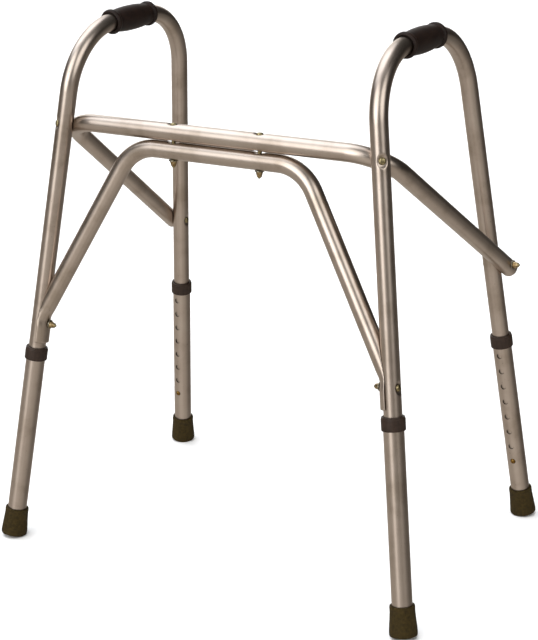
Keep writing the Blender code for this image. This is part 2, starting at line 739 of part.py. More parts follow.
def build():
    for old in list(bpy.data.objects):
        bpy.data.objects.remove(old)
    aluminium = material("satin_anodised_aluminium", (0.42, 0.37, 0.32), 1.0, 0.32)
    vinyl = material("black_vinyl", (0.016, 0.011, 0.009), 0.0, 0.5)
    collar_plastic = material("black_polypropylene", (0.035, 0.028, 0.023), 0.0, 0.45)
    rubber = material("dark_rubber", (0.022, 0.017, 0.010), 0.0, 0.75)
    steel = material("zinc_plated_steel", (0.45, 0.43, 0.36), 1.0, 0.35)
    yellow_zinc = material("yellow_zinc_plated_steel", (0.50, 0.36, 0.13), 1.0, 0.35)
    brass = material("brass", (0.30, 0.19, 0.07), 1.0, 0.35)
    spring_steel = material("spring_steel", (0.25, 0.25, 0.26), 1.0, 0.3)

    legs = {(end, side): Leg(end, side) for end in ("front", "rear") for side in (1, -1)}
    joints = find_joints(legs)
    frames = {}
    for side in (1, -1):
        front, rear = legs["front", side], legs["rear", side]
        frames[side] = add_side_frame(front, rear, joints, aluminium)
        add_grip(front, rear, vinyl)
    upper_bar = add_upper_bar(joints, aluminium)
    lower_bar = add_lower_bar(legs, joints, aluminium)

    for (end, side), leg in legs.items():
        holder = bpy.data.objects.new(f"leg_axis_{leg.name}", None)
        bpy.context.scene.collection.objects.link(holder)
        holder.matrix_world = frame_matrix(leg.foot, leg.up, leg.holes_face)
        bpy.context.view_layer.update()
        add_extension(leg, holder, aluminium)
        add_collar(leg, holder, collar_plastic)
        add_tip(leg, holder, rubber)
        add_tip_washer(leg, holder, steel)
        button = add_snap_button(leg, brass)
        add_button_clip(leg, spring_steel)
        drill = rod_mesh(f"leg_hole_{leg.name}", HOLE_R, 5, TUBE_R + 1, 12)
        add_cutter(f"leg_hole_{leg.name}", drill, button.matrix_world, [frames[side]])

    for joint in joints:
        targets = {
            "upper_bar": [frames[joint.side], upper_bar],
            "brace": [frames[joint.side], upper_bar],
            "lower_bar": [frames[joint.side], lower_bar],
            "front_bars": [upper_bar, lower_bar],
        }
        add_fastener(joint, targets[joint.place], (steel, yellow_zinc))


build()
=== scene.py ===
"""The looks of a height-adjustable walking frame: bent anodised tube, moulded grips and rubber tips.

Lengths are in millimetres here and are turned to metres where a mesh is made. The frame stands on z = 0 with
its open side towards +Y. Every surface is a grid of points worked out from two parameters: a distance along a
centre line or a profile, and a turn about it.
"""

import json
import math

import bpy
import numpy as np
from mathutils import Matrix


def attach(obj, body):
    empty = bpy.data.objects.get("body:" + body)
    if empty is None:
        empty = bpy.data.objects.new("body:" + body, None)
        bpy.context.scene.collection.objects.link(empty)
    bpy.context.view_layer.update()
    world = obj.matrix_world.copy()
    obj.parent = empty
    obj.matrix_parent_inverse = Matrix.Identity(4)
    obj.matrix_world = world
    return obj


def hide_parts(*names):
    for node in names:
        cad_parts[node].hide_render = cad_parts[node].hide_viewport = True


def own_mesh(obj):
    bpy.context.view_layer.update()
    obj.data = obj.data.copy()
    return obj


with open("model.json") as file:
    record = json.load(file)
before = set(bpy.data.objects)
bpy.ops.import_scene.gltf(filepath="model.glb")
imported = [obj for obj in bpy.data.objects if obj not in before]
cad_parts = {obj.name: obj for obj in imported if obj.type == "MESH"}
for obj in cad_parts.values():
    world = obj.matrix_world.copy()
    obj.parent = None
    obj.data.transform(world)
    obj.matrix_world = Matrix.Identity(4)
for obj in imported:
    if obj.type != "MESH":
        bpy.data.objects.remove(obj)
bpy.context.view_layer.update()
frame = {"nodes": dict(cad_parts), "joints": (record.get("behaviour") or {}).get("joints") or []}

MM = 0.001
SIDES = {1: "right", -1: "left"}

# Tube stock and the run of each tube, as the CAD part has them
TUBE_R = 12.7
SLEEVE_R = 14.3
WALL = 1.2
GAP = 0.3
ARCH_CORNER = np.array([239.2, 132.0, 770.0])
ARCH_BEND = 101.0
LEG_TUBE_END = 72.0
UPPER_CORNER = np.array([257.8, -143.7, 640.7])
UPPER_BEND = 61.0
BRACE_END = np.array([300.2, 188.2, 407.1])
LOWER_CORNER = np.array([138.2, -145.2, 614.9])
LOWER_BEND = 65.0
SADDLE_AIM_Z = 343.0
SADDLE_START_Z = 366.0
SADDLE_FLAT_Z = 334.0
SADDLE_END_Z = 311.5
SADDLE_THICK = 3.6
SADDLE_HALF_ANGLE = math.radians(74)

# Along each leg from the floor
HOLE_FIRST = 97.3
HOLE_PITCH = 25.4
HOLE_COUNT = 8
HOLE_R = 4.3
SLEEVE_END = 14.7
COLLAR_TOP = 306.4
COLLAR_HEIGHT = 19.3
COLLAR_R = 16.8
TIP_BOTTOM = 2.7
TIP_FLOOR = 12.3
TIP_TOP = 45.6
TIP_FOOT_R = 19.7

# Dimples where bolts clamp the tubes, and how far a bolt's tip is past the centre line of its bar
HEAD_SEAT = 10.3
FACING_SEAT = 10.9
DIMPLE_SPAN = 13.0
TIP_PAST_BAR = 22.0

# The snap button, from the centre line of its leg, and the two arms of its clip
BUTTON_BACK = 8.8
BUTTON_TOP = 16.3
CLIP_NEAR = 8.0
CLIP_FAR = 9.2

# Mesh: columns round a tube, the flat at a turned solid's pole, and steps along runs, bends and details
AROUND = 64
POLE_R = 0.5
COARSE = 9.0
BEND_STEP = 2.4
FINE = 1.1


# ---------------------------------------------------------------- lines and frames of reference


def unit(vectors):
    """Each vector divided by its length."""
    vectors = np.asarray(vectors, float)
    return vectors / np.linalg.norm(vectors, axis=-1, keepdims=True)


def on_side(point, side):
    """The point on the +X side, or mirrored to the -X side."""
    return np.asarray(point, float) * (side, 1, 1)


def node_points(name):
    """The corners of a CAD node's mesh, in millimetres."""
    mesh = frame["nodes"][name].data
    points = np.empty(len(mesh.vertices) * 3)
    mesh.vertices.foreach_get("co", points)
    return points.reshape(-1, 3) / MM


class Leg:
    """A leg's line: up its centre from where it meets the floor, read from its height joint and sleeve."""

    def __init__(self, end, side):
        self.name = f"{end}_{SIDES[side]}"
        joint = next(joint for joint in frame["joints"] if joint["name"] == f"height_{self.name}")
        self.up = -unit(joint["axis"])
        points = node_points(f"leg_extension_{self.name}")
        middle = (points.min(0) + points.max(0)) / 2
        self.foot = middle - self.up * (middle[2] / self.up[2])
        facing = np.array([0, 1.0 if end == "front" else -1.0, 0])
        self.out = unit(facing - self.up * (facing @ self.up))
        self.across = np.cross(self.out, self.up)
        self.inward = unit(np.cross(self.up, (0, side, 0)))

    def at(self, distance):
        """The point at a distance up the line."""
        return self.foot + self.up * distance

    def at_height(self, height):
        """The point at a height over the floor."""
        return self.foot + self.up * (height / self.up[2])


class Bolt:
    """A bolted joint's line, read from the CAD bolt: its seat under the head, and the way it points."""

    def __init__(self, name):
        self.name = name
        points = node_points(f"bolt_{name}")
        middle = points.mean(0)
        axis = np.linalg.svd(points - middle, full_matrices=False)[2][0]
        along = (points - middle) @ axis
        wide = np.linalg.norm(points - middle - np.outer(along, axis), axis=1) > 4.5
        turn = -1 if along[wide].mean() > 0 else 1
        self.axis = axis * turn
        self.seat = middle + self.axis * (along[wide] * turn).max()
        self.tip = middle + self.axis * (along * turn).max()


def bent_line(corners, bend):
    """A centre line of straight runs joined by arcs of one radius, as a function of the distance along it.

    On a run the point is start + distance x direction; on an arc it is centre + bend x (arrive x sin a -
    inward x cos a), where a is the distance into the arc over the bend radius.
    """
    corners = [np.asarray(corner, float) for corner in corners]
    pieces = []
    start = corners[0]
    for before, corner, after in zip(corners, corners[1:], corners[2:]):
        arrive = unit(corner - before)
        leave = unit(after - corner)
        turn = math.acos(float(arrive @ leave))
        touch = corner - arrive * bend * math.tan(turn / 2)
        inward = unit(leave - arrive * (arrive @ leave))
        pieces.append(("run", start, arrive, None, np.linalg.norm(touch - start)))
        pieces.append(("arc", touch + inward * bend, arrive, inward, bend * turn))
        start = corner + leave * bend * math.tan(turn / 2)
    last = unit(corners[-1] - start)
    pieces.append(("run", start, last, None, np.linalg.norm(corners[-1] - start)))
    ends = np.cumsum([piece[4] for piece in pieces])

    def place(distance):
        """The points at some distances, and the directions there."""
        distance = np.atleast_1d(np.asarray(distance, float))
        points = np.zeros((len(distance), 3))
        ahead = np.zeros((len(distance), 3))
        which = np.searchsorted(ends[:-1], distance, side="right")
        for number, (kind, origin, arrive, inward, length) in enumerate(pieces):
            here = which == number
            into = (distance[here] - ends[number] + length)[:, None]
            if kind == "run":
                points[here] = origin + into * arrive
                ahead[here] = arrive
            else:
                sine = np.sin(into / bend)
                cosine = np.cos(into / bend)
                points[here] = origin + bend * (arrive * sine - inward * cosine)
                ahead[here] = arrive * cosine + inward * sine
        return points, ahead

    place.length = ends[-1]
    place.bends = [(ends[n] - pieces[n][4], ends[n]) for n in range(len(pieces)) if pieces[n][0] == "arc"]
    return place


def distances(line, details=(), start=0.0, end=None):
    """Distances along a line: few on its runs, close together on its bends and closest about its details."""
    end = line.length if end is None else end
    sets = [np.linspace(start, end, int((end - start) / COARSE) + 2)]
    for low, high in line.bends:
        sets.append(np.linspace(low, high, int((high - low) / BEND_STEP) + 2))
    for middle, reach in details:
        sets.append(np.linspace(middle - reach, middle + reach, int(2 * reach / FINE) + 2))
    every = np.unique(np.clip(np.concatenate(sets), start, end))
    keep = np.r_[True, np.diff(every) > 0.35]
    keep[-1] = True
    return every[keep]


def nearest_distance(line, point):
    """The distance along a line at which it passes a point most closely."""
    tries = np.linspace(0, line.length, 4001)
    return tries[np.argmin(np.linalg.norm(line(tries)[0] - point, axis=1))]


# ---------------------------------------------------------------- surfaces


def tube_grid(points, ahead, normal, radius):
    """Rings about a centre line: point + radius x (cos a x upward + sin a x across) for a turn a."""
    angle = np.linspace(0, 2 * np.pi, AROUND, endpoint=False)
    across = unit(normal - ahead * (ahead @ normal)[:, None])
    upward = np.cross(across, ahead)
    turn = angle[None, :, None]
    spokes = np.cos(turn) * upward[:, None] + np.sin(turn) * across[:, None]
    radii = np.broadcast_to(np.asarray(radius, float), len(points))
    return points[:, None] + radii[:, None, None] * spokes


def turned_grid(profile, origin, axis, around=AROUND):
    """A profile of (radius, height) rows turned about an axis: origin + height x axis + radius x spoke(a)."""
    profile = np.asarray(profile, float)
    axis = unit(axis)
    side = unit(np.cross(axis, (0.2, 0.3, 1.0) if abs(axis[2]) < 0.9 else (0.0, 1.0, 0.1)))
    other = np.cross(axis, side)
    angle = np.linspace(0, 2 * np.pi, around, endpoint=False)
    spokes = np.cos(angle)[:, None] * side + np.sin(angle)[:, None] * other
    return origin + profile[:, 1, None, None] * axis + profile[:, 0, None, None] * spokes[None]


def rounded_profile(corners, radii, steps=6):
    """A profile through corner points with each corner turned to a quarter-like curve of its own radius.

    Between the two touching points the curve is the quadratic (1-t)^2 x p + 2t(1-t) x corner + t^2 x q.
    """
    corners = np.asarray(corners, float)
    rows = [corners[:1]]
    t = np.linspace(0, 1, steps + 1)[:, None]
    for before, corner, after, radius in zip(corners, corners[1:], corners[2:], radii):
        reach = min(radius, np.linalg.norm(corner - before) * 0.49, np.linalg.norm(after - corner) * 0.49)
        p = corner + unit(before - corner) * reach
        q = corner + unit(after - corner) * reach
        rows.append((1 - t) ** 2 * p + 2 * t * (1 - t) * corner + t**2 * q if reach > 0 else corner[None])
    rows.append(corners[-1:])
    return np.concatenate(rows)


def smooth_step(value):
    """3 v^2 - 2 v^3 of a value held between 0 and 1."""
    value = np.clip(value, 0, 1)
    return value**2 * (3 - 2 * value)


def pressed(grid, origin, line, away, radius, soft=0.5):
    """The grid with the points nearer than radius to a round neighbour's line moved out along away.

    The new height is the smooth maximum of the old height and sqrt(radius^2 - sideways^2).
    """
    offset = grid - origin
    sideways = offset @ np.cross(line, away)
    height = offset @ away
    along = np.abs(offset @ line)
    room = np.sqrt(np.clip(radius**2 - sideways**2, 0, None))
    near = (along < 90) & (np.abs(sideways) < radius) & (height > -radius * 1.02) & (height < room + 3 * soft)
    lifted = room + soft * np.log1p(np.exp(np.clip((height - room) / soft, -30, 30)))
    return grid + np.where(near, np.maximum(lifted - height, 0), 0)[..., None] * away


def dimpled(grid, centre, line, outward, seat, radius, half=5.4, reach=11.5, soft=0.35):
    """The grid with its outward side pressed to a round flat at seat from the centre line, with a soft rim.

    The height over the line becomes the smooth minimum of itself and seat + (radius - seat) x rise(r), where
    r is the distance from the bolt's own line.
    """
    offset = grid - centre
    height = offset @ outward
    apart = np.linalg.norm(offset - height[..., None] * outward, axis=-1)
    limit = seat + (radius + 0.8 - seat) * smooth_step((apart - half) / (reach - half))
    lowered = limit - soft * np.log1p(np.exp(np.clip((limit - height) / soft, -30, 30)))
    lowered = np.minimum(lowered, height)
    return grid + np.where((apart < reach) & (height > 0), lowered - height, 0)[..., None] * outward


def grid_mesh(name, grid, turn_length, run, ends="open"):
    """A mesh over a grid that closes on itself round the second parameter, with a UV map in metres.

    U is the distance round it and V the distance along it. Its ends are open where a wall will close them,
    capped with a face each, or joined where the last ring is the first one again. A mesh whose volume comes
    out negative is turned the right way out.
    """
    rows, columns = grid.shape[:2]
    rings = rows - 1 if ends == "joined" else rows
    i, j = np.meshgrid(np.arange(rows - 1), np.arange(columns), indexing="ij")
    on = (i + 1) % rings
    after = (j + 1) % columns
    quads = np.stack([i * columns + j, i * columns + after, on * columns + after, on * columns + j], -1)
    quads = quads.reshape(-1, 4)
    u = np.stack([j, j + 1, j + 1, j], -1) / columns * turn_length
    v = np.stack([run[i], run[i], run[i + 1], run[i + 1]], -1)
    uv = np.stack([u, v], -1).reshape(-1, 4, 2) * MM
    corners = grid[:rings].reshape(-1, 3)
    first, second, third = (corners[quads[:, k]] - corners.mean(0) for k in (0, 1, 3))
    inside_out = np.sum(first * np.cross(second, third)) < 0
    if inside_out:
        quads = quads[:, ::-1]
        uv = uv[:, ::-1]
    caps = []
    if ends == "capped":
        ring = np.arange(columns)[:: 1 if inside_out else -1]
        caps = [ring.tolist(), ((rows - 1) * columns + ring[::-1]).tolist()]
    mesh = bpy.data.meshes.new(name)
    mesh.from_pydata((corners * MM).tolist(), [], quads.tolist() + caps)
    layer = mesh.uv_layers.new(name="surface")
    flat = np.zeros((len(mesh.loops), 2), np.float32)
    flat[: uv.size // 2] = uv.reshape(-1, 2)
    layer.data.foreach_set("uv", flat.ravel())
    mesh.validate()
    mesh.shade_smooth()
    mesh.set_sharp_from_angle(angle=math.radians(50))
    return mesh


def make_piece(name, mesh, finish, body, replaced, wall=None):
    """Link a finished mesh, give it its finish and body, and hide the CAD node it stands for."""
    mesh.materials.append(finish)
    piece = bpy.data.objects.new(name, mesh)
    bpy.context.scene.collection.objects.link(piece)
    if wall:
        shell = piece.modifiers.new("wall", "SOLIDIFY")
        shell.thickness = wall * MM
        shell.offset = -1
    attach(piece, body)
    if replaced:
        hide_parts(replaced)
    return piece


# ---------------------------------------------------------------- materials

RAMP = "ShaderNodeValToRGB"


def linear(code):
    """An sRGB hex colour as linear red, green, blue and alpha."""
    channels = [int(code[k : k + 2], 16) / 255 for k in (1, 3, 5)]
    return [c / 12.92 if c <= 0.04045 else ((c + 0.055) / 1.055) ** 2.4 for c in channels] + [1.0]


def add_node(tree, kind, settings=None, stops=(), **links):
    """A node with its settings, whose inputs take values or other sockets; a name's _ stands for a space.

    The stops are a colour ramp's positions and colours. A name such as i6 is the input with that number.
    """
    node = tree.nodes.new(kind)
    for name, value in (settings or {}).items():
        setattr(node, name, value)
    if stops:
        points = node.color_ramp.elements
        while len(points) < len(stops):
            points.new(0.5)
        for point, (position, colour) in zip(points, stops):
            point.position = position
            point.color = colour
    for name, value in links.items():
        key = int(name[1:]) if name[0] == "i" and name[1:].isdigit() else name.replace("_", " ")
        if isinstance(value, bpy.types.NodeSocket):
            tree.links.new(value, node.inputs[key])
        else:
            node.inputs[key].default_value = value
    return node


def start_material(name, **sockets):
    """A Principled material with its constant sockets set, and its tree and shader."""
    made = bpy.data.materials.new(name)
    made.use_nodes = True
    shader = made.node_tree.nodes["Principled BSDF"]
    for socket, value in sockets.items():
        shader.inputs[socket.replace("_", " ")].default_value = value
    return made, made.node_tree, shader


def grey(value):
    """A grey as red, green, blue and alpha."""
    return (value, value, value, 1.0)


def anodised_tube():
    """Satin anodised aluminium, drawn as tube: champagne grey, faint die lines along it, small scuffs."""
    made, tree, shader = start_material("satin anodised aluminium", Metallic=1.0)
    along = add_node(tree, "ShaderNodeUVMap", {"uv_map": "surface"}).outputs["UV"]
    place = add_node(tree, "ShaderNodeTexCoord").outputs["Object"]
    # Die lines about 0.8 mm apart round the tube and 80 mm long along it
    lines = add_node(tree, "ShaderNodeMapping", Vector=along, Scale=(1250, 12, 1)).outputs["Vector"]
    drawn = add_node(tree, "ShaderNodeTexNoise", Vector=lines, Scale=1.0, Detail=3.0, Roughness=0.6)
    # Anodising shade and handling stains drift over about 45 mm
    cloud = add_node(tree, "ShaderNodeTexNoise", Vector=place, Scale=22.0, Detail=4.0, Roughness=0.6)
    # Handling marks: specks about 1.5 mm across, kept only where the noise peaks
    speck = add_node(tree, "ShaderNodeTexNoise", Vector=place, Scale=330.0, Detail=2.0)
    specks = [(0.70, grey(0)), (0.78, grey(1))]
    speck_mask = add_node(tree, RAMP, stops=specks, Fac=speck.outputs["Fac"]).outputs[0]
    scuff_place = add_node(tree, "ShaderNodeMapping", Vector=along, Scale=(500, 90, 1)).outputs["Vector"]
    scuff = add_node(tree, "ShaderNodeTexNoise", Vector=scuff_place, Scale=1.0, Detail=4.0, Roughness=0.7)
    scuffs = [(0.66, grey(0)), (0.76, grey(1))]
    scuff_mask = add_node(tree, RAMP, stops=scuffs, Fac=scuff.outputs["Fac"]).outputs[0]
    champagne = [(0.32, linear("#ab9e91")), (0.5, linear("#bdb0a5")), (0.8, linear("#c5baaf"))]
    shade = add_node(tree, RAMP, stops=champagne, Fac=cloud.outputs["Fac"]).outputs[0]
    line_shades = [(0.3, grey(0.82)), (0.7, grey(1.0))]
    lined = add_node(
        tree,
        "ShaderNodeMix",
        {"data_type": "RGBA", "blend_type": "MULTIPLY"},
        i0=0.35,
        i6=shade,
        i7=add_node(tree, RAMP, stops=line_shades, Fac=drawn.outputs["Fac"]).outputs[0],
    ).outputs[2]
    scuffed = add_node(
        tree,
        "ShaderNodeMix",
        {"data_type": "RGBA"},
        i0=add_node(tree, "ShaderNodeMath", {"operation": "MULTIPLY"}, i0=scuff_mask, i1=0.18).outputs[0],
        i6=lined,
        i7=linear("#d9d2c8"),
    ).outputs[2]
    specked = add_node(
        tree,
        "ShaderNodeMix",
        {"data_type": "RGBA"},
        i0=add_node(tree, "ShaderNodeMath", {"operation": "MULTIPLY"}, i0=speck_mask, i1=0.55).outputs[0],
        i6=scuffed,
        i7=linear("#5b5148"),
    ).outputs[2]
    tree.links.new(specked, shader.inputs["Base Color"])
    rough = add_node(
        tree,
        "ShaderNodeMapRange",
        Value=drawn.outputs["Fac"],
        To_Min=0.25,
        To_Max=0.34,
    ).outputs[0]
    tree.links.new(rough, shader.inputs["Roughness"])
    bump = add_node(
        tree, "ShaderNodeBump", Strength=0.12, Distance=0.00004, Height=drawn.outputs["Fac"]
    ).outputs[0]
    tree.links.new(bump, shader.inputs["Normal"])
    return made


def moulded(name, low, high, roughness, grain_mm, depth_mm, cloud_mm, **sockets):
    """A moulded plastic or rubber: two shades that drift, a fine grain in its bump and in its roughness."""
    made, tree, shader = start_material(name, **sockets)
    place = add_node(tree, "ShaderNodeTexCoord").outputs["Object"]
    cloud = add_node(
        tree, "ShaderNodeTexNoise", Vector=place, Scale=1000 / cloud_mm, Detail=4.0, Roughness=0.6
    )
    grain = add_node(tree, "ShaderNodeTexNoise", Vector=place, Scale=1000 / grain_mm, Detail=2.0)
    shades = [(0.32, linear(low)), (0.68, linear(high))]
    shade = add_node(tree, RAMP, stops=shades, Fac=cloud.outputs["Fac"]).outputs[0]
    tree.links.new(shade, shader.inputs["Base Color"])
    rough = add_node(
        tree,
        "ShaderNodeMapRange",
        Value=cloud.outputs["Fac"],
        To_Min=roughness - 0.05,
        To_Max=roughness + 0.07,
    ).outputs[0]
    tree.links.new(rough, shader.inputs["Roughness"])
    bump = add_node(
        tree, "ShaderNodeBump", Strength=0.5, Distance=depth_mm * MM, Height=grain.outputs["Fac"]
    ).outputs[0]
    tree.links.new(bump, shader.inputs["Normal"])
    return made


def plated(name, low, high, roughness, mottle_mm):
    """A plated metal: two shades in a fine mottle, duller where it is darker."""
    made, tree, shader = start_material(name, Metallic=1.0)
    place = add_node(tree, "ShaderNodeTexCoord").outputs["Object"]
    mottle = add_node(tree, "ShaderNodeTexNoise", Vector=place, Scale=1000 / mottle_mm, Detail=3.0)
    shades = [(0.35, linear(low)), (0.65, linear(high))]
    shade = add_node(tree, RAMP, stops=shades, Fac=mottle.outputs["Fac"]).outputs[0]
    tree.links.new(shade, shader.inputs["Base Color"])
    rough = add_node(
        tree,
        "ShaderNodeMapRange",
        Value=mottle.outputs["Fac"],
        To_Min=roughness + 0.08,
        To_Max=roughness - 0.05,
    ).outputs[0]
    tree.links.new(rough, shader.inputs["Roughness"])
    return made


aluminium = anodised_tube()
# Moulded vinyl is smooth and soft: nearly black, with a faint sheen and no clear highlight
vinyl = moulded("black brown vinyl", "#170f0c", "#221610", 0.5, 0.5, 0.02, 9.0, Specular_IOR_Level=0.2)
# Moulded polypropylene is waxy: a shade lighter and browner than the grips
polypropylene = moulded(
    "moulded polypropylene", "#251911", "#31231a", 0.5, 0.6, 0.02, 6.0, Specular_IOR_Level=0.25
)
# Natural rubber goes dull and olive brown with age, with a coarse matt skin
rubber = moulded("natural rubber", "#261d07", "#382c0f", 0.75, 0.7, 0.05, 4.0, Specular_IOR_Level=0.15)
# Plating mottles in spots of 1.5 to 3 mm: bright where it is whole, and duller and browner where it is worn
zinc = plated("zinc-plated steel", "#7d7765", "#b9b4a2", 0.26, 2.0)
yellow_zinc = plated("dulled yellow zinc-plated steel", "#6b6247", "#b3a57d", 0.28, 1.5)
brass = plated("tarnished brass", "#57401c", "#94713a", 0.28, 2.0)
bronzed_zinc = plated("zinc plating gone brown", "#755c38", "#bfab84", 0.28, 2.5)
# Painted shade: a dark, dull lining for the inside of each sleeve and the walls of its holes, in place of the
# shade that falls inside the tube
painted_shade_lining = plated("painted shade lining", "#2b2520", "#4a423b", 0.5, 3.0)
blued = plated("blued spring steel", "#3c4046", "#5d6066", 0.3, 2.0)


# ---------------------------------------------------------------- the pieces

legs = {(end, side): Leg(end, side) for end in ("front", "rear") for side in SIDES}
bolts = {
    (place, side): Bolt(f"{place}_{word}")
    for place in ("upper_bar", "brace", "lower_bar", "front_bars")
    for side, word in SIDES.items()
}


def clamp_point(bolt, line):
    """Where a bolt's line passes a centre line: the distance along it, and its point and direction there."""
    middle = bolt.seat + bolt.axis * HEAD_SEAT
    distance = nearest_distance(line, middle)
    points, ahead = line(distance)
    return distance, points[0], ahead[0]


def side_frame(side):
    """One tube: front leg, top run and rear leg, dimpled under each bolt head."""
    front, rear = legs["front", side], legs["rear", side]
    corner = on_side(ARCH_CORNER, side)
    ends = [front.at(LEG_TUBE_END), corner * (1, -1, 1), corner, rear.at(LEG_TUBE_END)]
    line = bent_line(ends, ARCH_BEND)
    heads = [bolts["upper_bar", side], bolts["lower_bar", side], bolts["brace", side]]
    clamps = [clamp_point(bolt, line) for bolt in heads]
    run = distances(line, [(clamp[0], DIMPLE_SPAN) for clamp in clamps])
    points, ahead = line(run)
    normal = unit(np.cross(ends[2] - ends[1], (front.foot + rear.foot) / 2 - ends[1]))
    grid = tube_grid(points, ahead, normal, TUBE_R)
    for bolt, (_, centre, direction) in zip(heads, clamps):
        grid = dimpled(grid, centre, direction, -bolt.axis, HEAD_SEAT, TUBE_R)
    name = f"side_frame_tube_{SIDES[side]}"
    mesh = grid_mesh(name, grid, 2 * np.pi * TUBE_R, run)
    return make_piece(name, mesh, aluminium, "frame", f"side_frame_{SIDES[side]}", WALL)


def upper_bar():
    """One tube across the front whose ends run back as braces, pressed round the legs that it crosses."""
    ends = [on_side(BRACE_END, -1), on_side(UPPER_CORNER, -1), UPPER_CORNER, BRACE_END]
    line = bent_line(ends, UPPER_BEND)
    brace = unit(BRACE_END - UPPER_CORNER)
    normal = unit(np.cross((1, 0, 0), (0, brace[1], brace[2])))
    details = []
    for side in SIDES:
        for place in ("upper_bar", "brace"):
            bolt = bolts[place, side]
            details.append((nearest_distance(line, bolt.tip - bolt.axis * TIP_PAST_BAR), 30.0))
        details.append((clamp_point(bolts["front_bars", side], line)[0], DIMPLE_SPAN))
    run = distances(line, details)
    points, ahead = line(run)
    end_round = np.clip((np.minimum(run, line.length - run)) / 0.5, 0, 1)
    grid = tube_grid(points, ahead, normal, TUBE_R - 0.4 + 0.4 * np.sqrt(1 - (1 - end_round) ** 2))
    for side in SIDES:
        for place, end in (("upper_bar", "front"), ("brace", "rear")):
            bolt, leg = bolts[place, side], legs[end, side]
            on_leg = leg.at((bolt.seat - leg.foot) @ leg.up)
            grid = pressed(grid, on_leg, leg.up, bolt.axis, TUBE_R + 2 * GAP)
        bolt = bolts["front_bars", side]
        _, centre, direction = clamp_point(bolt, line)
        grid = dimpled(grid, centre, direction, -bolt.axis, HEAD_SEAT, TUBE_R)
        grid = dimpled(grid, centre, direction, bolt.axis, FACING_SEAT, TUBE_R)
    mesh = grid_mesh("upper_bar_tube", grid, 2 * np.pi * TUBE_R, run)
    return make_piece("upper_bar_tube", mesh, aluminium, "frame", "upper_front_bar", WALL)


def saddle_rings(leg, heights, angles, order):
    """Rings of the flattened end about the leg: radius and turn follow the round tube's angle a.

    The turn is half angle x cos a and the radius is the mid radius + half thickness x |sin a|^0.6 with the
    sign of sin a, so that the ring is a crescent of even thickness with round edges.
    """
    sideways = np.cross(leg.up, leg.inward)
    turn = SADDLE_HALF_ANGLE * np.cos(angles)
    bulge = np.sign(np.sin(angles)) * np.abs(np.sin(angles)) ** 0.6
    radius = TUBE_R + GAP + SADDLE_THICK / 2 * (1 + bulge)
    ring = np.outer(radius * np.sin(turn), sideways) + np.outer(radius * np.cos(turn), leg.inward)
    ring = reordered(ring, order)
    return leg.foot + (heights / leg.up[2])[:, None, None] * leg.up + ring


def reordered(ring, order):
    """A ring rolled round by some places, and taken backwards first if the order says so."""
    turn, backwards = order
    return np.roll(ring[::-1] if backwards else ring, turn, axis=0)


def best_order(target, ring):
    """How to roll a ring round, and which way to take it, so that it lies closest to the target ring."""
    choices = [(turn, backwards) for turn in range(len(ring)) for backwards in (False, True)]
    return min(choices, key=lambda order: np.linalg.norm(reordered(ring, order) - target))


def lower_bar_half(side):
    """The lower bar from its middle to the end that is pressed flat round a front leg."""
    leg = legs["front", side]
    corner = on_side(LOWER_CORNER, side)
    middle = corner * (0, 1, 1)
    aim = leg.at_height(SADDLE_AIM_Z)
    line = bent_line([middle, corner, aim], LOWER_BEND)
    bolt = bolts["front_bars", side]
    clamp = nearest_distance(line, bolt.tip - bolt.axis * TIP_PAST_BAR)
    run = distances(line, [(clamp, DIMPLE_SPAN), (line.length - 40, 60.0)])
    points, ahead = line(run)
    slope = ahead[-1]
    down = np.arange(1, int((SADDLE_AIM_Z - SADDLE_END_Z) / FINE)) * FINE
    heights = np.r_[points[:, 2], SADDLE_AIM_Z - down, SADDLE_END_Z]
    straight = aim + slope * ((heights[len(run):] - SADDLE_AIM_Z) / slope[2])[:, None]
    points = np.concatenate([points, straight])
    ahead = np.concatenate([ahead, np.broadcast_to(slope, straight.shape)])
    normal = unit(np.cross(aim - corner, middle - corner)) * side
    grid = tube_grid(points, ahead, normal, TUBE_R)
    clamp_place, clamp_ahead = line(clamp)
    grid = dimpled(grid, clamp_place[0], clamp_ahead[0], -bolt.axis, FACING_SEAT, TUBE_R)
    clear = (aim, leg.up, leg.inward, TUBE_R + GAP)
    low = heights < SADDLE_START_Z + 90
    low[: len(heights) // 4] = False
    grid[low] = pressed(grid[low], *clear)
    angles = np.linspace(0, 2 * np.pi, AROUND, endpoint=False)
    here = int(np.argmin(np.abs(heights - SADDLE_START_Z)))
    order = best_order(grid[here], saddle_rings(leg, heights[here : here + 1], angles, (0, False))[0])
    crescents = saddle_rings(leg, heights, angles, order)
    blend = smooth_step((SADDLE_START_Z - heights) / (SADDLE_START_Z - SADDLE_FLAT_Z))[:, None, None]
    mixed = pressed(grid * (1 - blend) + crescents * blend, *clear)
    grid = np.where(blend > 0, mixed, grid)
    run = np.r_[0, np.cumsum(np.linalg.norm(np.diff(grid.mean(1), axis=0), axis=1))]
    return grid, run


def lower_bar():
    """The lower front bar: both halves joined in the middle."""
    right, right_run = lower_bar_half(1)
    order = best_order(right[0], right[0] * (-1, 1, 1))
    left = right[:0:-1] * (-1, 1, 1)
    left = np.roll(left[:, ::-1] if order[1] else left, order[0], axis=1)
    grid = np.concatenate([left, right])
    run = np.r_[-right_run[:0:-1], right_run]
    mesh = grid_mesh("lower_bar_tube", grid, 2 * np.pi * TUBE_R, run)
    return make_piece("lower_bar_tube", mesh, aluminium, "frame", "lower_front_bar", 1.1)


